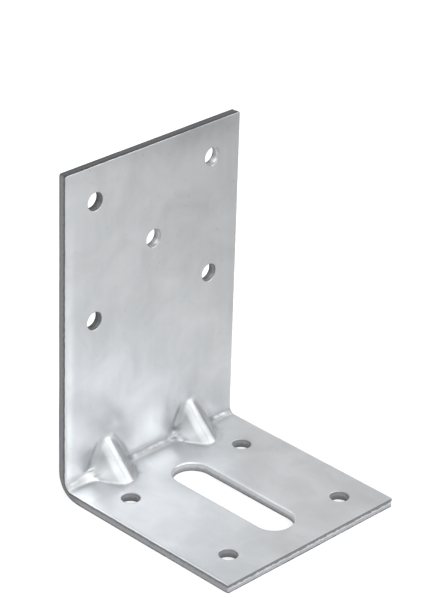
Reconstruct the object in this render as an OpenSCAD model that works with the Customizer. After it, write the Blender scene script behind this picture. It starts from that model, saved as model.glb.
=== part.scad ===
// Corner brace bracket folded from one piece of zinc-coated steel sheet.
// An upright leg and a base leg meet in a fold that two pressed darts stiffen.
// Millimetres. The bracket stands on its base leg, with the underside at z = 0, and the
// origin is the middle of its footprint. The fold runs along X and the base leg points to -Y.
// The modules draw it turned a quarter: x runs from the back of the upright leg towards the
// free end of the base leg, and y across the width. bracket() turns it to its own frame.

/* [Sheet] */
// Thickness of the sheet
sheet_t = 2.5; // [1.5:0.1:4]
// Width of both legs, along the fold
width = 60; // [45:0.5:90]
// Height of the upright leg, from the underside of the base leg
upright_h = 91.5; // [70:0.5:140]
// Length of the base leg, from the back of the upright leg
base_l = 62; // [48:0.5:100]
// Inside radius of the fold
fold_r = 3.2; // [1:0.1:5]

/* [Sheared edges] */
// Depth to which shearing draws the inner face down along an edge
roll_depth = 0.4; // [0.1:0.05:0.8]
// Width of the strip that is drawn down
roll_w = 0.8; // [0.2:0.05:1.5]
// Width of the drawn-down rim round each hole
rim_w = 0.25; // [0.1:0.05:0.5]

/* [Nail holes] */
// Diameter of the nail holes
hole_d = 5; // [3:0.1:7]
// Distance from the outer holes' centres to the sheet's edges
hole_edge = 9.8; // [6:0.1:13]
// Height of the lower pair of holes in the upright leg, above the underside
upright_row = 48.3; // [25:0.1:58]
// Distance of the inner pair of holes in the base leg from the back of the upright leg
base_row = 16.6; // [14:0.1:22]

/* [Anchor slot] */
// Width of the slot
slot_w = 11; // [6:0.1:14]
// Distance from the back of the upright leg to the near end of the slot
slot_start = 13.4; // [9:0.1:18]
// Distance from the far end of the slot to the free end of the base leg
slot_end = 8.4; // [5:0.1:14]

/* [Darts] */
// Distance between the two darts' middles
dart_pitch = 30; // [22:0.1:36]
// Height at which a dart's crest leaves the upright leg
dart_rise = 12.7; // [10:0.1:16]
// Distance from the back of the upright leg at which a dart's crest meets the base leg
dart_reach = 11.5; // [9.5:0.1:14]
// Nose radius of the punch that presses the hollow behind a dart
punch_r = 0.6; // [0.3:0.1:1.2]
// Slope of a dart's flanks, from the line along the fold
flank_angle = 50; // [40:1:60]

/* [Hidden] */
$fn = 96;

// Overshoot of cutters beyond the face that they cut
over = 1;
// Distance of the fold's centre line from the outer face of each leg
fold_c = fold_r + sheet_t;
// Offset of each outer hole row from the middle of the width
row_y = width / 2 - hole_edge;
// Heights of the upper pair and of the middle hole in the upright leg
upright_top_row = upright_h - hole_edge;
upright_mid_row = (upright_row + upright_top_row) / 2;
// Distance of the outer pair in the base leg from the back of the upright leg
base_far_row = base_l - hole_edge;
// Slope of a dart's crest, its length, and its height over the fold's centre line
crest_slope = atan2(dart_rise - sheet_t, dart_reach - sheet_t);
crest_l = norm([dart_rise - sheet_t, dart_reach - sheet_t]);
crest_n = (sheet_t - fold_c) * sin(crest_slope) + (dart_rise - fold_c) * cos(crest_slope);
// Nose radius of a dart's outside, one sheet thickness over the punch
crest_r = punch_r + sheet_t;
// Depth by which a flank starts inside the nose, so that the two meet in a clean line
flank_inset = 0.02;

// Sheet cut at right angles to the leg: x from the outer face to the inner, y across the width
module sheet_section() {
    polygon([
        [0, -width / 2],
        [sheet_t - roll_depth, -width / 2],
        [sheet_t, roll_w - width / 2],
        [sheet_t, width / 2 - roll_w],
        [sheet_t - roll_depth, width / 2],
        [0, width / 2],
    ]);
}

// Straight leg that stands up from the fold, drawn down along its free end too
module leg(length) {
    difference() {
        translate([0, 0, fold_c])
            linear_extrude(height = length - fold_c)
                sheet_section();
        translate([sheet_t, 0, length])
            rotate([90, 0, 0])
                linear_extrude(height = width + 2 * over, center = true)
                    polygon([
                        [roll_depth, -2 * roll_w],
                        [roll_depth, roll_w],
                        [-2 * roll_depth, roll_w],
                    ]);
    }
}

// Quarter turn of the same section between the two legs
module fold() {
    translate([fold_c, 0, fold_c])
        rotate([90, 0, 0])
            rotate_extrude(angle = 90, start = 180)
                translate([fold_c, 0])
                    mirror([1, 0])
                        sheet_section();
}

// Places what is drawn on the upright leg on the base leg instead
module on_base() {
    mirror([1, 0, -1])
        children();
}

// Punched opening across an upright sheet, with its rim drawn down on the inner face
module punched(y, z, opening_w, run = 0) {
    translate([0, y, z])
        rotate([0, 90, 0]) {
            translate([0, 0, -over])
                obround(opening_w / 2, opening_w / 2, sheet_t + 2 * over, run);
            translate([0, 0, sheet_t - rim_w])
                obround(opening_w / 2, opening_w / 2 + 2 * rim_w, 2 * rim_w, run);
        }
}

// Round cutter that widens from r1 to r2, drawn out along -X when it has a run
module obround(r1, r2, h, run) {
    cylinder(r1 = r1, r2 = r2, h = h);
    if (run > 0) {
        translate([-run, 0, 0])
            cylinder(r1 = r1, r2 = r2, h = h);
        rotate([90, 0, -90])
            linear_extrude(height = run)
                polygon([[-r1, 0], [r1, 0], [r2, h], [-r2, h]]);
    }
}

// Five nail holes of the upright leg, one in the middle of the other four
module upright_holes() {
    for (z = [upright_row, upright_top_row])
        for (side = [-1, 1])
            punched(side * row_y, z, hole_d);
    punched(0, upright_mid_row, hole_d);
}

// Four nail holes and the anchor slot of the base leg
module base_holes() {
    on_base() {
        for (x = [base_row, base_far_row])
            for (side = [-1, 1])
                punched(side * row_y, x, hole_d);
        punched(0, slot_start + slot_w / 2, slot_w, base_l - slot_start - slot_end - slot_w);
    }
}

// Ridge along a dart's crest: a round nose on two flanks, down to the given depth
module dart_ridge(y, nose_r, depth) {
    flank_y = (nose_r - flank_inset) * sin(flank_angle);
    flank_n = (nose_r - flank_inset) * cos(flank_angle) - crest_r;
    foot_y = flank_y + (flank_n + depth) / tan(flank_angle);
    translate([sheet_t, y, dart_rise])
        rotate([0, crest_slope, 0])
            rotate([90, 0, 90])
                translate([0, 0, -2 * sheet_t])
                    linear_extrude(height = crest_l + 4 * sheet_t) {
                        translate([0, -crest_r])
                            circle(r = nose_r);
                        polygon([
                            [-flank_y, flank_n],
                            [-foot_y, -depth],
                            [foot_y, -depth],
                            [flank_y, flank_n],
                        ]);
                    }
}

// Outside of a dart, seated in the middle of the sheet's thickness
module dart_outside(y) {
    intersection() {
        dart_ridge(y, crest_r, crest_n + fold_r + sheet_t / 2);
        translate([sheet_t / 2, -width / 2, sheet_t / 2])
            cube([dart_reach, width, dart_rise]);
    }
}

// Hollow that the punch leaves behind a dart
module dart_hollow(y) {
    dart_ridge(y, punch_r, crest_n + fold_c + sheet_t);
}

module bracket() {
    color([0.76, 0.77, 0.78])
        rotate([0, 0, -90])
            translate([-base_l / 2, 0, 0])
                difference() {
                    union() {
                        leg(upright_h);
                        fold();
                        on_base()
                            leg(base_l);
                        for (side = [-1, 1])
                            dart_outside(side * dart_pitch / 2);
                    }
                    for (side = [-1, 1])
                        dart_hollow(side * dart_pitch / 2);
                    upright_holes();
                    base_holes();
                }
}

bracket();
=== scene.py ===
# Corner brace bracket of zinc-coated steel sheet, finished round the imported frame.
import math

import bmesh
import bpy
from mathutils import Matrix, Quaternion, Vector, noise


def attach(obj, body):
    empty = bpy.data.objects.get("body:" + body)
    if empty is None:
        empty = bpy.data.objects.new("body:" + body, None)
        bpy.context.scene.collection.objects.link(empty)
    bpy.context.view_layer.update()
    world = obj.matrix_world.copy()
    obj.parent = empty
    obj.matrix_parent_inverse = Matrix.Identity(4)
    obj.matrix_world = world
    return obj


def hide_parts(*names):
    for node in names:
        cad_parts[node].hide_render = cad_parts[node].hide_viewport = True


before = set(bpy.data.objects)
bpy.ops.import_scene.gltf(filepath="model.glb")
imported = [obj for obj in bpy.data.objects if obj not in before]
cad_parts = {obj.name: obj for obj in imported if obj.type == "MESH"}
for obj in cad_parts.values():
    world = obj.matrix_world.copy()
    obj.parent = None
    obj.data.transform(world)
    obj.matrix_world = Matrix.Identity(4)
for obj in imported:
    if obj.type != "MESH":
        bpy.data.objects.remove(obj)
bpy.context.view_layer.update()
millimetre = 0.001

# lengths in millimetres, angles in degrees; a pair of distances is where a change starts and ends
sheet = {
    "thickness": 2.5,
    "width": 60.0,
    "uprightHeight": 91.5,
    "baseLength": 62.0,
    "foldRadius": 3.2,
    "creaseRadius": 1.7,         # to which the die has pressed the inside of the fold
    "cornerRadius": 0.6,
    "cell": 0.95,                # grid of the flat blank
    "foldCell": 0.35,            # and of its strip that becomes the fold
    "weld": 0.002,               # points that lie closer together become one
    "sharpAngle": 42.0,          # edges that are bent further stay sharp
    "rollWidth": 0.6,            # strip along the outline that shearing draws down
    "rollDepth": 0.32,
    "rollSteps": [1.0, 0.62, 0.34, 0.14, 0.03],
    "topShare": 0.35,            # how much of that depth the upright leg's free end has
    "footShare": 0.12,           # and the base leg's
    "rollWaver": 0.35,           # how uneven the depth is along the sides
    "endWaver": 0.9,             # and along the upright leg's free end
    "waverRate": 0.9,            # how often it changes in a millimetre
    "waverSeed": 0.4,
    # share of the wall's depth, and how far the wall has stepped back there
    "wall": [(0.22, 0.0), (0.5, 0.0), (0.58, 0.05), (0.78, 0.07), (0.95, 0.1)],
    "exitStep": 0.16,            # and at the outer face
    "endBand": 0.3,              # walls this close to a free end belong to that end
    "drawnIn": 0.55,             # how far the outer face is drawn in at the ends of the fold
    "drawnWidth": 3.5,
    "drawnReach": 1.5,           # along the sheet, in halves of the fold's length
    "wornBand": (2.0, 3.4),      # worn coating on both sides of the fold's middle
    "wornStart": (5.0, 6.6),     # how far beside the middle of a dart it starts
    "webShine": 0.85,            # how much of that wear the web beside the left dart lacks
    "webShineEnds": (-29.0, -22.0),  # across the blank
    "paintedCreaseShade": 0.9,          # painted shade for each millimetre of a crease's depth
}
openings = {
    "holeRadius": 2.5,
    "holeEdge": 9.8,             # from the outer holes' centres to the sheet's edges
    "uprightRow": 48.3,
    "baseRow": 16.6,
    "slotRadius": 5.5,
    "slotStart": 13.4,
    "slotEnd": 8.4,
    "margin": 1.5,               # grid that each opening takes up round itself
    "rimWidth": 0.5,
    "rimDepth": 0.3,
    "holeRimShare": 0.5,         # how much of that depth the nail holes have
    "slotHighlight": 0.55,           # how strong the painted highlight along the slot's right rim is
    "shineGap": 0.2,             # from the slot to the middle of that bright line
    "shineWidth": (0.15, 0.35),
    "shineLow": 1.0,             # height in the sheet down to which it comes
    # painted light and shade of the walls of the lower, upper, inner and outer pair, the middle hole and the
    # slot
    "wallShades": [0.42, 0.65, 0.42, 1.3, 0.85, 0.85, 0.85, 0.85, 1.15, 1.22],
    "topShade": 0.55,            # and of the wall along the top of the upright leg
    "baseShade": 1.5,            # and of the walls along the base leg
    "baseShadeStart": (2.0, 7.0),
}
# distances along the slope of a crest run from -7.9 at its top to 5.7 at its foot
darts = {
    "pitch": 30.0,
    "rise": 12.7,
    "reach": 11.5,
    "punchRadius": 0.6,
    "flankAngle": 50.0,
    "zoneWidth": 7.5,            # half the width of the finer grid round a dart
    "zoneTop": 16.5,
    "cuts": 2,
    "leans": (0.55, 0.75),       # how far the left and the right crest lean to the left
    "leanWidth": (2.0, 6.5),
    "leanSlope": (-6.0, 5.0),    # where the lean lessens towards the foot
    "leanLoss": 0.75,
    "crestFlat": 0.3,            # how far a crest is flattened
    "flatSlope": (-8.0, -3.0),
    "leastFlat": 0.05,
    "topBlend": 1.1,             # how gently the end of a crest grows out of the upright leg
    "softBlend": 2.0,            # and a dart's flanks
    "softWidth": (0.5, 3.0),
    "crispBlend": 0.5,           # and a dart out of the base leg
    "crispSlope": (-6.0, 3.0),
    "rightBlend": 2.8,           # and out of both legs, on its right
    "rightWidth": (0.8, 4.5),
    "rightSlope": (-5.5, -8.0),  # where that lessens towards the top
    "rightLoss": 0.7,
    "endSlope": (-7.0, -10.0),   # where every blend lessens above the top
    "endLoss": 0.6,
    "sink": 0.14,                # depth of the sunken ground beside a dart
    "sinkGap": 1.2,              # and its distance from the flank
    "sinkWidth": (1.5, 4.0),
    "sinkSlope": (-1.0, 3.0),
    "sinkLoss": 0.7,
    "webLow": 4.35,              # height of the web that fills the fold beside the left dart
    "webHigh": 5.0,
    "webEnd": -20.0,
    "webBlend": 0.5,
    "crestWear": 0.10,           # how worn the coating of a crest is
    "crestMiddle": -0.6,
    "wornWidth": (1.0, 2.8),
    "wornLength": (9.0, 11.5),
}
# across and along the blank, reach across and along, and depth; a bulge has a negative depth
dents = [
    (-12.8, -14.2, 2.4, 2.2, 0.3),
    (16.9, -12.6, 1.6, 1.8, 0.3),
    (-21.8, -7.2, 2.0, 1.8, 0.15),
    (7.4, -9.6, 1.5, 2.6, 0.16),
    (-17.5, -19.5, 2.2, 3.0, 0.22),
    (-0.5, -8.3, 3.0, 2.6, -0.15),
    (-21.9, 5.8, 1.6, 1.2, 0.08),
    (7.0, 7.2, 1.8, 1.4, 0.11),
    (20.7, 5.6, 1.2, 1.5, -0.12),
]
# lines across and along the blank, from one end to the other, with depth and reach
creases = [
    # pinched metal left of the right dart
    (9.0, -3.2, 9.1, -2.2, 0.45, 0.7),
    (10.8, -7.9, 10.0, -3.8, 0.07, 0.5),
    (10.0, -3.8, 9.1, -2.6, 0.14, 0.45),
    (8.1, -0.5, 8.3, -0.3, -0.3, 0.5),
    (8.2, 0.7, 8.5, 0.8, 0.3, 0.35),
    (9.1, -0.1, 9.6, 2.8, 0.2, 0.35),
    (9.6, 2.8, 9.9, 5.6, 0.12, 0.4),
    # left of the left dart
    (-20.9, -4.4, -21.5, -3.2, 0.16, 0.6),
    (-21.6, -2.2, -21.4, -2.1, -0.2, 0.4),
    (-21.2, -1.6, -21.1, 0.4, 0.14, 0.35),
    (-21.1, 0.4, -20.6, 2.7, 0.16, 0.35),
    (-20.6, 2.7, -19.5, 5.4, 0.12, 0.4),
    (-20.4, 0.5, -19.4, 0.5, -0.1, 0.3),
    # right of each
    (-7.4, 0.4, -8.3, 3.4, 0.14, 0.6),
    (-8.3, 3.4, -10.0, 6.9, 0.14, 0.6),
    (-10.0, 6.9, -12.8, 8.9, 0.1, 0.6),
    (21.5, 0.8, 20.4, 3.0, 0.08, 0.7),
    (20.0, 7.4, 17.4, 8.9, 0.08, 0.7),
]
# across and along the blank, reach across and along, and how much lighter the colour is painted there:
# painted light where positive, painted shade where negative
paintedLightPatches = [
    # upright leg, from the top down
    (0.0, -89.3, 60.0, 3.5, -0.14),
    (18.0, -87.0, 20.0, 6.0, -0.18),
    (24.0, -80.0, 14.0, 10.0, -0.10),
    (0.0, -80.0, 34.0, 20.0, -0.09),
    (-20.0, -75.0, 14.0, 16.0, -0.05),
    (8.0, -68.0, 34.0, 26.0, -0.09),
    (32.0, -62.0, 20.0, 34.0, -0.10),
    (17.0, -52.0, 16.0, 20.0, -0.11),
    (29.5, -45.0, 3.0, 36.0, -0.07),
    (25.0, -38.0, 9.0, 14.0, -0.07),
    (-28.9, -30.0, 1.5, 36.0, 0.34),
    (-25.0, -26.0, 10.0, 14.0, 0.06),
    (-22.0, -18.0, 8.0, 7.0, 0.08),
    # base leg
    (0.0, 32.0, 60.0, 26.0, 0.03),
    (-12.0, 33.0, 22.0, 20.0, 0.10),
    (-20.0, 36.0, 12.0, 12.0, 0.06),
    (30.0, 52.0, 14.0, 26.0, -0.13),
    # between the darts
    (1.5, -9.0, 5.0, 6.0, 0.29),
    (-8.5, -8.0, 3.0, 3.0, -0.15),
    (1.5, 6.5, 7.0, 3.5, 0.26),
    (8.0, 9.0, 5.0, 2.5, 0.1),
    (10.5, 8.8, 5.0, 2.2, 0.14),
    # left dart, and the fold left of it
    (-27.0, 8.0, 7.0, 6.5, 0.5),
    (-22.5, 8.0, 5.0, 6.0, 0.1),
    (-18.5, 9.8, 4.0, 2.0, 0.1),
    (-21.0, -8.2, 2.0, 2.0, 0.12),
    (-18.4, -6.0, 2.0, 2.6, -0.14),
    (-19.7, -5.5, 1.4, 1.8, -0.12),
    (-24.6, 0.4, 3.6, 2.6, -0.34),
    (-20.0, 0.8, 1.2, 1.2, 0.2),
    (-19.0, 1.4, 2.4, 3.2, 0.35),
    # painted shade that dims the crest's highlight
    (-15.3, -0.5, 2.0, 9.0, -0.36),
    (-14.8, 6.0, 3.0, 3.5, -0.12),
    (-11.2, -6.5, 2.2, 4.0, -0.08),
    (-10.6, 5.0, 2.0, 3.5, -0.08),
    # right dart, and the fold right of it
    (11.4, -6.4, 1.6, 2.8, -0.2),
    (9.3, 0.5, 0.9, 0.9, 0.35),
    (10.4, 2.0, 1.3, 1.8, 0.16),
    (11.6, 2.0, 2.4, 3.4, 0.25),
    # painted shade that dims the crest's highlight
    (14.7, -0.5, 2.0, 9.0, -0.44),
    (15.2, 6.0, 3.0, 3.5, -0.12),
    (17.8, -5.0, 2.0, 4.2, -0.22),
    (18.6, 4.5, 1.8, 3.5, -0.14),
    (25.5, -8.0, 4.0, 5.0, -0.09),
    (24.5, -0.2, 0.9, 0.4, 0.5),
    (26.9, -0.1, 0.8, 0.4, 0.5),
]
# unevenness of the legs: broad waves everywhere, and ripples that fade away from the fold
waves = {
    "depth": 0.05,
    "length": 11.0,
    "alongRate": 0.7,            # how often they come along the sheet for each across it
    "seed": 2.3,
    "foldDepth": 0.1,
    "foldReach": 18.0,
    "foldRates": (2.3, 1.9),     # ripples across and along for each broad wave
    "foldSeed": 7.1,
}

thickness = sheet["thickness"]
halfWidth = sheet["width"] / 2
foldCentre = sheet["foldRadius"] + thickness
halfFold = math.pi / 4 * (sheet["foldRadius"] + thickness / 2)
crestSlope = math.atan2(darts["rise"] - thickness, darts["reach"] - thickness)
crestHeight = thickness * math.sin(crestSlope) + darts["rise"] * math.cos(crestSlope)
noseRadius = darts["punchRadius"] + thickness
flankAngle = math.radians(darts["flankAngle"])


def alongUpright(height):
    return foldCentre - halfFold - height


def alongBase(reach):
    return reach - foldCentre + halfFold


blankTop = alongUpright(sheet["uprightHeight"])
blankFoot = alongBase(sheet["baseLength"])
blankMiddle = (blankTop + blankFoot) / 2
halfLength = (blankFoot - blankTop) / 2


def openingList():
    # across, nearest and farthest centre along the blank, and radius
    row = halfWidth - openings["holeEdge"]
    topRow = sheet["uprightHeight"] - openings["holeEdge"]
    midRow = (openings["uprightRow"] + topRow) / 2
    farRow = sheet["baseLength"] - openings["holeEdge"]
    rows = [alongUpright(openings["uprightRow"]), alongUpright(topRow)]
    rows += [alongBase(openings["baseRow"]), alongBase(farRow)]
    found = [(side * row, along, along, openings["holeRadius"]) for along in rows for side in (-1, 1)]
    found.append((0.0, alongUpright(midRow), alongUpright(midRow), openings["holeRadius"]))
    slotRadius = openings["slotRadius"]
    slotNear = alongBase(openings["slotStart"] + slotRadius)
    slotFar = alongBase(sheet["baseLength"] - openings["slotEnd"] - slotRadius)
    found.append((0.0, slotNear, slotFar, slotRadius))
    return found


punched = openingList()


def ease(value, start, end):
    # nothing at the start and one at the end, with no kink between
    share = min(max((value - start) / (end - start), 0.0), 1.0)
    return share * share * (3 - 2 * share)


def gridStops(marks, foldReach=0.0):
    # marks closer than a cell stay as they are, and wider gaps are filled evenly
    marks = sorted(set(round(mark, 4) for mark in marks))
    stops = marks[:1]
    for low, high in zip(marks, marks[1:]):
        inFold = abs(low + high) / 2 < foldReach
        steps = max(1, round((high - low) / sheet["foldCell" if inFold else "cell"]))
        stops += [low + (high - low) * step / steps for step in range(1, steps + 1)]
    return stops


def makeFlatGrid(bm):
    rollGaps = [sheet["rollWidth"] * step for step in sheet["rollSteps"]] + [0.0]
    acrossMarks = [side * (halfWidth - gap) for side in (-1, 1) for gap in rollGaps]
    alongMarks = [blankTop + gap for gap in rollGaps] + [blankFoot - gap for gap in rollGaps]
    alongMarks += [-halfFold, halfFold, alongUpright(darts["zoneTop"])]
    for across, start, end, radius in punched:
        reach = radius + openings["margin"]
        acrossMarks += [across - reach, across + reach]
        alongMarks += [start - reach, end + reach]
    acrossStops = gridStops(acrossMarks)
    alongStops = gridStops(alongMarks, halfFold)
    acrossCells = len(acrossStops) - 1
    alongCells = len(alongStops) - 1
    bmesh.ops.create_grid(bm, x_segments=acrossCells, y_segments=alongCells, size=1)
    for vert in bm.verts:
        vert.co.x = acrossStops[round((vert.co.x + 1) / 2 * acrossCells)]
        vert.co.y = alongStops[round((vert.co.y + 1) / 2 * alongCells)]
        vert.co.z = thickness


def refineDarts(bm):
    reach = openings["slotStart"] - openings["margin"]
    near = []
    for face in bm.faces:
        place = face.calc_center_median()
        beside = abs(abs(place.x) - darts["pitch"] / 2)
        if beside < darts["zoneWidth"] and alongUpright(darts["zoneTop"]) < place.y < alongBase(reach):
            near.append(face)
    edges = list(dict.fromkeys(edge for face in near for edge in face.edges))
    bmesh.ops.subdivide_edges(bm, edges=edges, cuts=darts["cuts"], use_grid_fill=True)


def extrudeRim(bm, rim):
    # gives the new ring of points, the faces that lead to it and its edges
    grown = bmesh.ops.extrude_edge_only(bm, edges=rim)["geom"]
    ring = [part for part in grown if isinstance(part, bmesh.types.BMVert)]
    faces = [part for part in grown if isinstance(part, bmesh.types.BMFace)]
    inRing = set(ring)
    edges = [edge for edge in dict.fromkeys(edge for vert in ring for edge in vert.link_edges)
             if edge.verts[0] in inRing and edge.verts[1] in inRing]
    return ring, faces, edges


def rollDrop(gap, width, depth):
    # how far a rounded lip lies below the face, at a distance from its edge
    share = min(max(1 - gap / width, 0.0), 1.0)
    return depth * (1 - math.sqrt(1 - share * share))


def cutOpening(bm, across, start, end, radius):
    # a patch of the grid goes, and its rim grows inwards ring by ring, down the rounded lip
    reach = radius + openings["margin"]
    patch = [face for face in bm.faces
             if abs(face.calc_center_median().x - across) < reach
             and start - reach < face.calc_center_median().y < end + reach]
    inside = set(patch)
    rim = [edge for edge in dict.fromkeys(edge for face in patch for edge in face.edges)
           if any(face not in inside for face in edge.link_faces)]
    bmesh.ops.delete(bm, geom=patch, context="FACES")
    rimDepth = openings["rimDepth"] * (1 if end > start else openings["holeRimShare"])
    for step in sheet["rollSteps"] + [0.0]:
        gap = openings["rimWidth"] * step
        ring, _, rim = extrudeRim(bm, rim)
        for vert in ring:
            spine = Vector((across, min(max(vert.co.y, start), end), 0))
            way = Vector((vert.co.x, vert.co.y, 0)) - spine
            vert.co = spine + way.normalized() * (radius + gap)
            vert.co.z = thickness - rollDrop(gap, openings["rimWidth"], rimDepth)


def rollOutline(bm):
    # the long sides are sheared from the inner face, and the short ends were cut off before that
    for vert in bm.verts:
        sideGap = halfWidth - abs(vert.co.x)
        endGap = halfLength - abs(vert.co.y - blankMiddle)
        uneven = noise.noise(Vector((vert.co.x, vert.co.y, sheet["waverSeed"])) * sheet["waverRate"])
        side = rollDrop(sideGap, sheet["rollWidth"], 1 + sheet["rollWaver"] * uneven)
        endShare = sheet["footShare"]
        if vert.co.y < 0:
            endShare = sheet["topShare"] * (1 + sheet["endWaver"] * uneven)
        end = rollDrop(endGap, sheet["rollWidth"], endShare)
        vert.co.z -= sheet["rollDepth"] * (1 - (1 - side) * (1 - end))


def roundCorners(bm):
    radius = sheet["cornerRadius"]
    for vert in bm.verts:
        acrossShare = (abs(vert.co.x) - halfWidth + radius) / radius
        alongShare = (abs(vert.co.y - blankMiddle) - halfLength + radius) / radius
        if acrossShare > 0 and alongShare > 0:
            acrossMove = radius * acrossShare * (math.sqrt(1 - alongShare ** 2 / 2) - 1)
            alongMove = radius * alongShare * (math.sqrt(1 - acrossShare ** 2 / 2) - 1)
            vert.co.x += math.copysign(1, vert.co.x) * acrossMove
            vert.co.y += math.copysign(1, vert.co.y - blankMiddle) * alongMove


def outwardWays(bm):
    # for each point of an outline, the level direction that leads out of the metal
    ways = {}
    for edge in bm.edges:
        if edge.is_boundary:
            side = (edge.verts[1].co - edge.verts[0].co).cross(Vector((0, 0, 1)))
            side.z = 0
            inward = edge.link_faces[0].calc_center_median() - edge.verts[0].co
            side = side.normalized() * math.copysign(1, -side.dot(inward))
            for vert in edge.verts:
                ways[vert] = ways.get(vert, Vector()) + side
    return {vert: way.normalized() for vert, way in ways.items()}


def giveThickness(bm):
    # a flat copy becomes the outer face, and the outlines grow down to it as stepped walls
    depthLayer = bm.verts.layers.float["depth"]
    ways = outwardWays(bm)
    heads = {vert: vert.co.copy() for vert in ways}
    rim = [edge for edge in bm.edges if edge.is_boundary]
    outer = bmesh.ops.duplicate(bm, geom=bm.verts[:] + bm.edges[:] + bm.faces[:])
    for inner, copied in outer["vert_map"].items():
        if isinstance(inner, bmesh.types.BMVert) and inner in ways:
            copied.co -= ways[inner] * sheet["exitStep"]
    for part in outer["geom"]:
        if isinstance(part, bmesh.types.BMVert):
            part.co.z = 0.0
            part[depthLayer] = 1.0
    last = set(ways)
    for share, step in sheet["wall"] + [(1.0, sheet["exitStep"])]:
        ring, faces, rim = extrudeRim(bm, rim)
        for face in faces:
            face.material_index = 1
        for vert in ring:
            above = next(edge.other_vert(vert) for edge in vert.link_edges
                         if edge.other_vert(vert) in last)
            ways[vert] = ways[above]
            heads[vert] = heads[above]
            vert.co = heads[vert] - ways[vert] * step
            vert.co.z = heads[vert].z * (1 - share)
            vert[depthLayer] = share
        last = set(ring)
    bmesh.ops.remove_doubles(bm, verts=bm.verts[:], dist=sheet["weld"])


def rimGap(place, across, start, end, radius):
    # distance of a place on the blank from the rim of an opening
    nearest = Vector((across, min(max(place.y, start), end)))
    return (place.xy - nearest).length - radius


def markWalls(bm):
    shadeLayer = bm.verts.layers.float["shade"]
    punchedLayer = bm.verts.layers.float["punched"]
    rubbedLayer = bm.verts.layers.float["rubbed"]
    # painted light and shade on each wall by where it lies, and which walls were punched or rubbed
    for vert in {vert for face in bm.faces if face.material_index == 1 for vert in face.verts}:
        vert[shadeLayer] = 1 + (openings["baseShade"] - 1) * ease(vert.co.y, *openings["baseShadeStart"])
        if vert.co.y < blankTop + sheet["endBand"]:
            vert[shadeLayer] = openings["topShade"]
        if vert.co.y > blankFoot - sheet["endBand"]:
            vert[rubbedLayer] = 1.0
        for opening, shade in zip(punched, openings["wallShades"]):
            if rimGap(vert.co, *opening) < openings["margin"] / 2:
                vert[punchedLayer] = 1.0
                vert[shadeLayer] = shade


def creaseReach(angle):
    # distance of the creased inner face from the centre of the fold
    radius = sheet["foldRadius"]
    offset = radius - sheet["creaseRadius"]
    away = abs(angle - math.pi / 4)
    if math.pi / 4 - away < math.atan2(offset, radius):
        return radius / math.cos(math.pi / 4 - away)
    offset *= math.sqrt(2)
    return offset * math.cos(away) + math.sqrt(sheet["creaseRadius"] ** 2 - (offset * math.sin(away)) ** 2)


def bend(along, through):
    # distance from the upright leg's back, and height
    if along < -halfFold:
        return through, foldCentre - halfFold - along
    if along > halfFold:
        return foldCentre - halfFold + along, through
    angle = (along + halfFold) / halfFold * math.pi / 4
    radius = foldCentre - through + (creaseReach(angle) - sheet["foldRadius"]) * through / thickness
    return foldCentre - radius * math.cos(angle), foldCentre - radius * math.sin(angle)


def smoothMax(low, high, blend):
    share = max(blend - abs(low - high), 0.0) / blend
    return max(low, high) + share * share * blend / 4


def spotSum(spots, across, along):
    # what soft round spots add up to at one place
    return sum(amount * math.exp(-((across - x) / wide) ** 2 - ((along - y) / tall) ** 2)
               for x, y, wide, tall, amount in spots)


def unevenness(across, along):
    # depth to which the legs are dented and wavy at one place
    x = across / waves["length"]
    y = along / waves["length"]
    wave = noise.noise(Vector((x, y * waves["alongRate"], waves["seed"])))
    acrossRate, alongRate = waves["foldRates"]
    ripple = noise.noise(Vector((x * acrossRate, y * alongRate, waves["foldSeed"])))
    nearFold = 1 - ease(abs(along), 0, waves["foldReach"])
    return spotSum(dents, across, along) + waves["depth"] * wave + waves["foldDepth"] * nearFold * ripple


def creaseDepth(across, along):
    depth = 0.0
    for startX, startY, endX, endY, sunk, reach in creases:
        run = Vector((endX - startX, endY - startY))
        offset = Vector((across - startX, along - startY))
        share = min(max(offset.dot(run) / run.length_squared, 0.0), 1.0)
        depth += sunk * math.exp(-((offset - run * share).length / reach) ** 2)
    return depth


def ridge(beside, nose):
    # height of a dart's section over the centre of its nose
    if beside < nose * math.sin(flankAngle):
        return math.sqrt(nose * nose - beside * beside)
    return (nose - beside * math.sin(flankAngle)) / math.cos(flankAngle)


def besideCrest(across, slopeAlong, inner):
    # how far to the right of the nearer dart's leaning crest a place lies
    offCentre = across - math.copysign(darts["pitch"] / 2, across)
    lean = darts["leans"][across > 0] * (1 - darts["leanLoss"] * ease(slopeAlong, *darts["leanSlope"]))
    return offCentre + lean * (1 - ease(abs(offCentre), *darts["leanWidth"])) * inner


def dartHeight(right, slopeAlong, inner):
    # height of crest and flanks, square to the crest's slope
    nose = noseRadius if inner > 0.5 else darts["punchRadius"]
    flat = darts["crestFlat"] * ease(slopeAlong, *darts["flatSlope"]) + darts["leastFlat"]
    return crestHeight - noseRadius + ridge(math.hypot(right, flat) - flat, nose)


def dartBlend(right, slopeAlong):
    beside = ease(abs(right), *darts["softWidth"])
    soft = darts["topBlend"] + (darts["softBlend"] - darts["topBlend"]) * beside
    blend = soft + (darts["crispBlend"] - soft) * ease(slopeAlong, *darts["crispSlope"])
    toRight = ease(right, *darts["rightWidth"])
    toRight *= 1 - darts["rightLoss"] * ease(slopeAlong, *darts["rightSlope"])
    blend += (darts["rightBlend"] - blend) * toRight
    return blend * (1 - darts["endLoss"] * ease(slopeAlong, *darts["endSlope"]))


def dartSink(gap, right, slopeAlong):
    # depth of the sunken ground, at a distance outside the flank
    foot = max(gap, 0.0) / darts["sinkGap"]
    sunk = darts["sink"] * foot * foot * math.exp(1 - foot * foot) * ease(abs(right), *darts["sinkWidth"])
    return sunk * (1 - darts["sinkLoss"] * ease(slopeAlong, *darts["sinkSlope"]))


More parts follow.
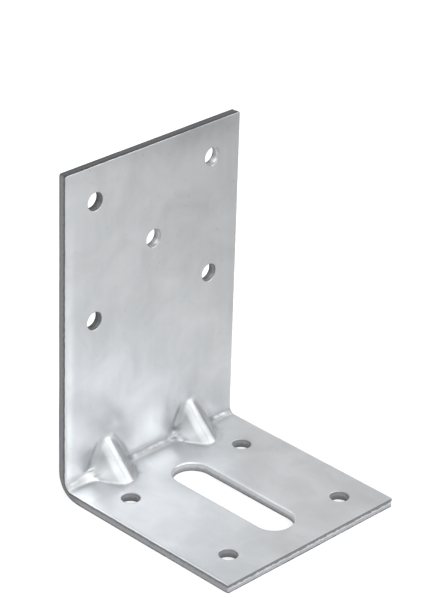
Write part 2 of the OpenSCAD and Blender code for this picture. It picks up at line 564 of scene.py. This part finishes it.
def formed(place):
    # where a place on the flat blank lies in the pressed bracket
    across, along, through = place
    inner = through / thickness
    onOuterFace = inner < 0.01
    through -= unevenness(across, along)
    if onOuterFace:
        through = max(through, 0.0)
    onFold = math.cos(min(abs(along) / (halfFold * sheet["drawnReach"]), 1.0) * math.pi / 2) ** 2
    atEdge = max(1 - (halfWidth - abs(across)) / sheet["drawnWidth"], 0.0) ** 2
    through += sheet["drawnIn"] * onFold * atEdge * (1 - inner)
    reach, height = bend(along, through)
    slopeAlong = reach * math.cos(crestSlope) - height * math.sin(crestSlope)
    slopeUp = reach * math.sin(crestSlope) + height * math.cos(crestSlope)
    right = besideCrest(across, slopeAlong, inner)
    dart = dartHeight(right, slopeAlong, inner)
    ground = slopeUp - dartSink(slopeUp - dart, right, slopeAlong) * inner
    if across < -darts["pitch"] / 2:
        toDart = ease(across, -halfWidth, darts["webEnd"])
        web = darts["webLow"] + (darts["webHigh"] - darts["webLow"]) * toDart
        ground = smoothMax(ground, web - thickness * (1 - inner), darts["webBlend"])
    raised = smoothMax(ground, dart, dartBlend(right, slopeAlong))
    lift = raised - slopeUp - creaseDepth(across, along) * inner
    reach += lift * math.sin(crestSlope)
    height += lift * math.cos(crestSlope)
    return Vector((across, sheet["baseLength"] / 2 - reach, height))


def wornShare(across, along):
    # how worn the coating is along the fold and on the crests; this also sets the strength of the painted
    # shade along the fold's middle
    beside = abs(abs(across) - darts["pitch"] / 2)
    band = 1 - ease(abs(along), *sheet["wornBand"])
    if across < -darts["pitch"] / 2:
        band *= 1 - sheet["webShine"] * ease(across, *sheet["webShineEnds"])
    onCrest = 1 - ease(beside, *darts["wornWidth"])
    onCrest *= 1 - ease(abs(along - darts["crestMiddle"]), *darts["wornLength"])
    return max(band * ease(beside, *sheet["wornStart"]), onCrest * darts["crestWear"])


def slotRim(place):
    # one along the rounded rim of the slot's right side, where a highlight is painted
    if place.z <= openings["shineLow"]:
        return 0.0
    across, _, _, radius = punched[-1]
    line = 1 - ease(abs(rimGap(place, *punched[-1]) - openings["shineGap"]), *openings["shineWidth"])
    return line * ease(place.x - across, 0, radius / 2)


def paintedLightAt(place):
    # how much lighter the colour is painted: the patches, painted shade in the creases and the painted
    # highlight along the slot's rim, with no patches left at the outer face
    paintedLight = spotSum(paintedLightPatches, place.x, place.y) - sheet["paintedCreaseShade"] * max(creaseDepth(place.x, place.y), 0)
    return paintedLight * place.z / thickness + openings["slotHighlight"] * slotRim(place)


def makeSheet():
    bm = bmesh.new()
    for name in ("depth", "punched", "rubbed", "shade", "paintedLight", "worn"):
        bm.verts.layers.float.new(name)
    makeFlatGrid(bm)
    refineDarts(bm)
    for opening in punched:
        cutOpening(bm, *opening)
    rollOutline(bm)
    roundCorners(bm)
    print("blank cut:", len(punched), "openings")
    giveThickness(bm)
    markWalls(bm)
    uv = bm.loops.layers.uv.new("sheet")
    for face in bm.faces:
        for loop in face.loops:
            loop[uv].uv = (loop.vert.co.x * millimetre, loop.vert.co.y * millimetre)
    paintedLightLayer = bm.verts.layers.float["paintedLight"]
    wornLayer = bm.verts.layers.float["worn"]
    for vert in bm.verts:
        vert[wornLayer] = wornShare(vert.co.x, vert.co.y)
        vert[paintedLightLayer] = paintedLightAt(vert.co)
        vert.co = formed(vert.co) * millimetre
    bmesh.ops.recalc_face_normals(bm, faces=bm.faces[:])
    for face in bm.faces:
        face.smooth = True
    sharpAngle = math.radians(sheet["sharpAngle"])
    for edge in bm.edges:
        edge.smooth = len(edge.link_faces) == 2 and edge.calc_face_angle() < sharpAngle
    mesh = bpy.data.meshes.new("bracketSheet")
    bm.to_mesh(mesh)
    bm.free()
    piece = bpy.data.objects.new("bracketSheet", mesh)
    bpy.context.scene.collection.objects.link(piece)
    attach(piece, "root")
    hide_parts("bracket")
    print("sheet formed:", len(mesh.vertices), "points,", len(mesh.polygons), "faces")
    return piece


# from here on, lengths are in metres
zinc = {
    "dark": (0.432, 0.443, 0.455),
    "pale": (0.504, 0.517, 0.531),
    "toneRange": (0.35, 0.65),       # of the clouds, over which dark turns pale
    "metallic": 0.85,
    "roughness": (0.31, 0.36),
    "roughRange": (0.3, 0.7),
    "cloudSize": 0.013,
    "streakShare": 0.15,
    "streakWidth": 0.0022,
    "streakLength": 0.03,
    "grainSize": 0.00035,
    "grainDepth": 0.04,
    "pitShade": 0.12,
    # worn, rougher coating along the fold, with painted shade along its middle and a broken smooth line in
    # it
    "foldUneven": 420.0,             # how often it changes in a metre
    "foldWaver": 0.0008,
    "foldGlint": (0.0002, 0.0009),
    "glintBreaks": (0.6, 0.45),
    "glintShare": 0.32,
    # painted shade along the fold's middle: its width and how dark it makes the colour
    "foldCore": (0.0004, 0.0013),
    "foldShadeTone": 0.6,
    "foldRoughness": 0.54,
}
shorn = {
    "metallic": 0.8,
    "roughness": (0.62, 0.32),
    "roughRange": (0.1, 0.7),        # of the brightness, over which dull turns smooth
    "grainSize": 0.0003,
    "grainDepth": 0.5,
    "uneven": 900.0,                 # how often the bands waver in a metre
    "unevenRange": (0.3, 0.7),
    "waver": 0.2,
    "tint": (0.968, 0.99, 1.03),
    # share of the wall's depth from the inner face, and brightness there
    "sheared": [(0.0, 0.12), (0.24, 0.13), (0.36, 0.2), (0.9, 0.225), (1.0, 0.12)],
    "punched": [(0.0, 0.42), (0.3, 0.42), (0.46, 0.38), (0.56, 0.28), (0.95, 0.25), (1.0, 0.17)],
    "rubbed": [(0.0, 0.12), (0.34, 0.14), (0.43, 0.37), (0.56, 0.37), (0.62, 0.2), (0.68, 0.27),
               (0.9, 0.27), (0.96, 0.15), (1.0, 0.12)],
}
skin = {
    "pitSpacing": 0.12,              # pits for each grain
    "pitSize": (0.05, 0.11),
    "bumpDistance": 0.0001,
}


def addNode(tree, kind, settings=None, inputs=None):
    # makes a node, sets its options, and fills or links its inputs
    node = tree.nodes.new(kind)
    for name, value in (settings or {}).items():
        setattr(node, name, value)
    for name, value in (inputs or {}).items():
        if isinstance(value, bpy.types.NodeSocket):
            tree.links.new(value, node.inputs[name])
        else:
            node.inputs[name].default_value = value
    return node


def mathNode(tree, operation, *values):
    return addNode(tree, "ShaderNodeMath", {"operation": operation}, dict(enumerate(values))).outputs[0]


def mixNode(tree, share, first, second):
    return addNode(tree, "ShaderNodeMix", {"data_type": "FLOAT"}, {0: share, 2: first, 3: second}).outputs[0]


def rangeNode(tree, value, given, made):
    return addNode(tree, "ShaderNodeMapRange", None, {
        "Value": value, "From Min": given[0], "From Max": given[1],
        "To Min": made[0], "To Max": made[1]}).outputs["Result"]


def bandMask(tree, value, near, far):
    # one as far as near, nothing from far on; near may be the greater of the two
    return addNode(tree, "ShaderNodeMapRange", {"interpolation_type": "SMOOTHSTEP"}, {
        "Value": value, "From Min": near, "From Max": far, "To Min": 1.0, "To Max": 0.0}).outputs["Result"]


def newGroup(name, inputs, outputs):
    group = bpy.data.node_groups.new(name, "ShaderNodeTree")
    for label, kind in inputs.items():
        group.interface.new_socket(name=label, in_out="INPUT", socket_type=kind)
    for label in outputs:
        group.interface.new_socket(name=label, in_out="OUTPUT", socket_type="NodeSocketFloat")
    return group, group.nodes.new("NodeGroupInput").outputs, group.nodes.new("NodeGroupOutput").inputs


def makeRollingMarks():
    # cloudy tone of a hot-dip coating with faint marks along the rolling direction
    group, given, made = newGroup(
        "rollingMarks",
        {"Place": "NodeSocketVector", "Sheet": "NodeSocketVector", "Cloud Size": "NodeSocketFloat",
         "Streak Width": "NodeSocketFloat", "Streak Length": "NodeSocketFloat"},
        ["Cloud", "Streak"])
    cloudScale = mathNode(group, "DIVIDE", 1.0, given["Cloud Size"])
    cloud = addNode(group, "ShaderNodeTexNoise", None, {
        "Vector": given["Place"], "Scale": cloudScale, "Detail": 4.0, "Roughness": 0.55, "Distortion": 0.6})
    acrossScale = mathNode(group, "DIVIDE", 1.0, given["Streak Width"])
    alongScale = mathNode(group, "DIVIDE", 1.0, given["Streak Length"])
    stretch = addNode(group, "ShaderNodeCombineXYZ", None, {"X": acrossScale, "Y": alongScale, "Z": 1.0})
    stretched = addNode(group, "ShaderNodeVectorMath", {"operation": "MULTIPLY"},
                        {0: given["Sheet"], 1: stretch.outputs[0]})
    streak = addNode(group, "ShaderNodeTexNoise", None, {
        "Vector": stretched.outputs[0], "Scale": 1.0, "Detail": 3.0, "Roughness": 0.5})
    group.links.new(cloud.outputs[0], made["Cloud"])
    group.links.new(streak.outputs[0], made["Streak"])
    return group


def makeFoldWearAndShade():
    # crazed, rougher coating along the fold, and painted shade along its middle, broken by a line where the
    # die has rubbed it smooth
    group, given, made = newGroup(
        "foldWearAndShade", {"Sheet": "NodeSocketVector", "Band": "NodeSocketFloat"}, ["Worn", "Core"])
    place = addNode(group, "ShaderNodeSeparateXYZ", None, {0: given["Sheet"]}).outputs
    uneven = addNode(group, "ShaderNodeTexNoise", None, {
        "Vector": given["Sheet"], "Scale": zinc["foldUneven"], "Detail": 2.0}).outputs[0]
    shifted = mathNode(group, "MULTIPLY_ADD", uneven, zinc["foldWaver"], place["Y"])
    fromMiddle = mathNode(group, "ABSOLUTE", shifted)
    line = bandMask(group, fromMiddle, *zinc["foldGlint"])
    breaks = bandMask(group, uneven, *zinc["glintBreaks"])
    glint = mathNode(group, "MULTIPLY", mathNode(group, "MULTIPLY", line, breaks), zinc["glintShare"])
    worn = mathNode(group, "MULTIPLY", given["Band"], mathNode(group, "SUBTRACT", 1.0, glint))
    core = bandMask(group, fromMiddle, *zinc["foldCore"])
    group.links.new(worn, made["Worn"])
    group.links.new(mathNode(group, "MULTIPLY", worn, core), made["Core"])
    return group


def makeMetalGrain():
    # fine roughness of the metal's skin, as a height and a mask of small pits
    group, given, made = newGroup(
        "metalGrain", {"Place": "NodeSocketVector", "Grain Size": "NodeSocketFloat"}, ["Height", "Pits"])
    scale = mathNode(group, "DIVIDE", 1.0, given["Grain Size"])
    grain = addNode(group, "ShaderNodeTexNoise", None, {
        "Vector": given["Place"], "Scale": scale, "Detail": 2.0, "Roughness": 0.6})
    cells = addNode(group, "ShaderNodeTexVoronoi", {"feature": "F1"}, {
        "Vector": given["Place"], "Scale": mathNode(group, "MULTIPLY", scale, skin["pitSpacing"]),
        "Randomness": 1.0})
    group.links.new(grain.outputs[0], made["Height"])
    group.links.new(bandMask(group, cells.outputs["Distance"], *skin["pitSize"]), made["Pits"])
    return group


def newMetal(name, finish, metalGrain):
    # a metal with a grainy skin; also gives its node tree, shader, place and grain
    material = bpy.data.materials.new(name)
    material.use_nodes = True
    tree = material.node_tree
    shader = tree.nodes["Principled BSDF"].inputs
    shader["Metallic"].default_value = finish["metallic"]
    place = addNode(tree, "ShaderNodeTexCoord").outputs["Object"]
    grain = addNode(tree, "ShaderNodeGroup", {"node_tree": metalGrain},
                    {"Place": place, "Grain Size": finish["grainSize"]}).outputs
    bump = addNode(tree, "ShaderNodeBump", None, {
        "Strength": finish["grainDepth"], "Distance": skin["bumpDistance"], "Height": grain["Height"]})
    tree.links.new(bump.outputs["Normal"], shader["Normal"])
    return material, tree, shader, place, grain


def makeZinc(rollingMarks, metalGrain, foldWearAndShade):
    material, tree, shader, place, grain = newMetal("zincCoating", zinc, metalGrain)
    unrolled = addNode(tree, "ShaderNodeUVMap", {"uv_map": "sheet"}).outputs["UV"]
    marks = addNode(tree, "ShaderNodeGroup", {"node_tree": rollingMarks}, {
        "Place": place, "Sheet": unrolled, "Cloud Size": zinc["cloudSize"],
        "Streak Width": zinc["streakWidth"], "Streak Length": zinc["streakLength"]}).outputs
    band = addNode(tree, "ShaderNodeAttribute", {"attribute_name": "worn"}).outputs["Fac"]
    worn = addNode(tree, "ShaderNodeGroup", {"node_tree": foldWearAndShade}, {
        "Sheet": unrolled, "Band": band}).outputs
    paintedLight = addNode(tree, "ShaderNodeAttribute", {"attribute_name": "paintedLight"}).outputs["Fac"]
    tone = mixNode(tree, zinc["streakShare"], marks["Cloud"], marks["Streak"])
    ramp = addNode(tree, "ShaderNodeValToRGB", None, {"Fac": tone})
    for element, position, name in zip(ramp.color_ramp.elements, zinc["toneRange"], ("dark", "pale")):
        element.position = position
        element.color = (*zinc[name], 1)
    # the coating's colour takes painted light and shade from the patches, creases and slot rim, and painted
    # shade along the fold's middle
    paintedFoldShade = rangeNode(tree, worn["Core"], (0.0, 1.0), (1.0, zinc["foldShadeTone"]))
    pits = mathNode(tree, "MULTIPLY_ADD", grain["Pits"], -zinc["pitShade"], 1.0)
    shade = mathNode(tree, "MULTIPLY", mathNode(tree, "ADD", paintedLight, pits), paintedFoldShade)
    colour = addNode(tree, "ShaderNodeVectorMath", {"operation": "SCALE"}, {
        "Vector": ramp.outputs["Color"], "Scale": shade})
    tree.links.new(colour.outputs[0], shader["Base Color"])
    smooth, dull = zinc["roughness"]
    rough = rangeNode(tree, marks["Cloud"], zinc["roughRange"], (dull, smooth))
    rougher = mixNode(tree, worn["Worn"], rough, zinc["foldRoughness"])
    tree.links.new(rougher, shader["Roughness"])
    print("material made:", material.name)
    return material


def bandRamp(tree, level, bands):
    ramp = addNode(tree, "ShaderNodeValToRGB", None, {"Fac": level})
    elements = ramp.color_ramp.elements
    while len(elements) < len(bands):
        elements.new(0.5)
    for element, (position, _) in zip(elements, bands):
        element.position = position
    for element, (_, tone) in zip(elements, bands):
        element.color = (tone, tone, tone, 1)
    return ramp.outputs["Color"]


def makeShorn(metalGrain):
    material, tree, shader, place, _ = newMetal("shearedSteel", shorn, metalGrain)
    marks = {name: addNode(tree, "ShaderNodeAttribute", {"attribute_name": name}).outputs["Fac"]
             for name in ("depth", "punched", "rubbed", "shade")}
    uneven = addNode(tree, "ShaderNodeTexNoise", None, {
        "Vector": place, "Scale": shorn["uneven"], "Detail": 3.0}).outputs[0]
    wander = rangeNode(tree, uneven, shorn["unevenRange"], (-shorn["waver"] / 2, shorn["waver"] / 2))
    level = mathNode(tree, "ADD", marks["depth"], wander)
    bands = {name: bandRamp(tree, level, shorn[name]) for name in ("sheared", "punched", "rubbed")}
    tone = mixNode(tree, marks["punched"], bands["sheared"], bands["punched"])
    tone = mixNode(tree, marks["rubbed"], tone, bands["rubbed"])
    # each wall's painted light and shade
    tone = mathNode(tree, "MULTIPLY", tone, marks["shade"])
    colour = addNode(tree, "ShaderNodeVectorMath", {"operation": "SCALE"}, {0: shorn["tint"], "Scale": tone})
    tree.links.new(colour.outputs[0], shader["Base Color"])
    tree.links.new(rangeNode(tree, tone, shorn["roughRange"], shorn["roughness"]), shader["Roughness"])
    print("material made:", material.name)
    return material


floor = {
    "colour": (0.5, 0.5, 0.5),
    "roughness": 0.9,
    "glow": 0.52,                    # what the floor adds for the camera and for mirroring metal
    "size": 12.0,
    "gap": 0.00003,                  # under the bracket, so that the two faces don't touch
}


def makeFloor():
    bm = bmesh.new()
    bmesh.ops.create_grid(bm, x_segments=4, y_segments=4, size=floor["size"] / 2)
    bmesh.ops.translate(bm, vec=(0, 0, -floor["gap"]), verts=bm.verts[:])
    mesh = bpy.data.meshes.new("studioFloor")
    bm.to_mesh(mesh)
    bm.free()
    piece = bpy.data.objects.new("studioFloor", mesh)
    bpy.context.scene.collection.objects.link(piece)
    material = bpy.data.materials.new("paleFloor")
    material.use_nodes = True
    tree = material.node_tree
    shader = tree.nodes["Principled BSDF"].inputs
    shader["Base Color"].default_value = (*floor["colour"], 1)
    shader["Roughness"].default_value = floor["roughness"]
    shader["Specular IOR Level"].default_value = 0.0
    shader["Emission Strength"].default_value = floor["glow"]
    path = addNode(tree, "ShaderNodeLightPath").outputs
    seen = mathNode(tree, "MAXIMUM", path["Is Camera Ray"], path["Is Glossy Ray"])
    seen = mathNode(tree, "MAXIMUM", seen, path["Is Transmission Ray"])
    tree.links.new(seen, shader["Emission Color"])
    mesh.materials.append(material)
    print("floor laid")


# azimuth and elevation seen from the bracket, half angles across and up, lean to the right,
# distance, and brightness
lamps = {
    "keySoftbox": (42.0, 28.0, 13.0, 21.0, 25.0, 2.0, 3.6),
    "rightSoftbox": (110.0, 35.0, 25.0, 25.0, 0.0, 2.0, 0.5),
    "frontSoftbox": (12.0, 34.0, 20.0, 24.0, 0.0, 2.0, 1.15),
    "leftSoftbox": (318.0, 42.0, 32.0, 30.0, 0.0, 2.0, 1.4),
    "overheadSoftbox": (45.0, 75.0, 25.0, 20.0, 0.0, 2.0, 0.7),
    "rimSoftbox": (205.0, 38.0, 22.0, 16.0, 0.0, 2.0, 2.0),
}
lampTarget = Vector((0.0, 0.0, 0.02))


def makeLamps():
    for name, (azimuth, elevation, across, up, lean, distance, brightness) in lamps.items():
        light = bpy.data.lights.new(name, "AREA")
        light.shape = "RECTANGLE"
        light.size = 2 * distance * math.tan(math.radians(across))
        light.size_y = 2 * distance * math.tan(math.radians(up))
        light.energy = brightness * math.pi * light.size * light.size_y
        holder = bpy.data.objects.new(name, light)
        turn = math.radians(azimuth)
        rise = math.radians(elevation)
        way = Vector((math.sin(turn) * math.cos(rise), -math.cos(turn) * math.cos(rise), math.sin(rise)))
        holder.location = lampTarget + way * distance
        tilt = Quaternion((0, 0, 1), math.radians(-lean))
        holder.rotation_euler = (way.to_track_quat("Z", "Y") @ tilt).to_euler()
        holder.visible_camera = False
        bpy.context.scene.collection.objects.link(holder)
    print("lamps hung:", len(lamps))


studio = {"colour": (0.66, 0.66, 0.66), "strength": 1.0}


def makeWorld():
    world = bpy.data.worlds.new("paleStudio")
    world.use_nodes = True
    background = world.node_tree.nodes["Background"].inputs
    background["Color"].default_value = (*studio["colour"], 1)
    background["Strength"].default_value = studio["strength"]
    bpy.context.scene.world = world
    print("world lit")


# place and axes found from the photograph's straight edges and hole rims; lens and sensor in millimetres
camera = {
    "place": (-0.424531, -0.411763, 0.369682),
    "right": (0.71094, -0.70271, 0.02768),
    "up": (0.30991, 0.34838, 0.88464),
    "back": (-0.63129, -0.62034, 0.46545),
    "lens": 161.807,
    "sensor": 36.0,
    "clip": (0.01, 50.0),
}


def makeCamera():
    data = bpy.data.cameras.new("photoCamera")
    data.sensor_width = camera["sensor"]
    data.lens = camera["lens"]
    data.clip_start, data.clip_end = camera["clip"]
    holder = bpy.data.objects.new("photoCamera", data)
    turn = Matrix((camera["right"], camera["up"], camera["back"])).transposed()
    holder.matrix_world = Matrix.Translation(camera["place"]) @ turn.to_4x4()
    bpy.context.scene.collection.objects.link(holder)
    bpy.context.scene.camera = holder
    print("camera set up")


makeCamera()
bracketSheet = makeSheet()
metalGrain = makeMetalGrain()
bracketSheet.data.materials.append(makeZinc(makeRollingMarks(), metalGrain, makeFoldWearAndShade()))
bracketSheet.data.materials.append(makeShorn(metalGrain))
makeFloor()
makeLamps()
makeWorld()
bpy.context.scene.view_settings.view_transform = "Standard"
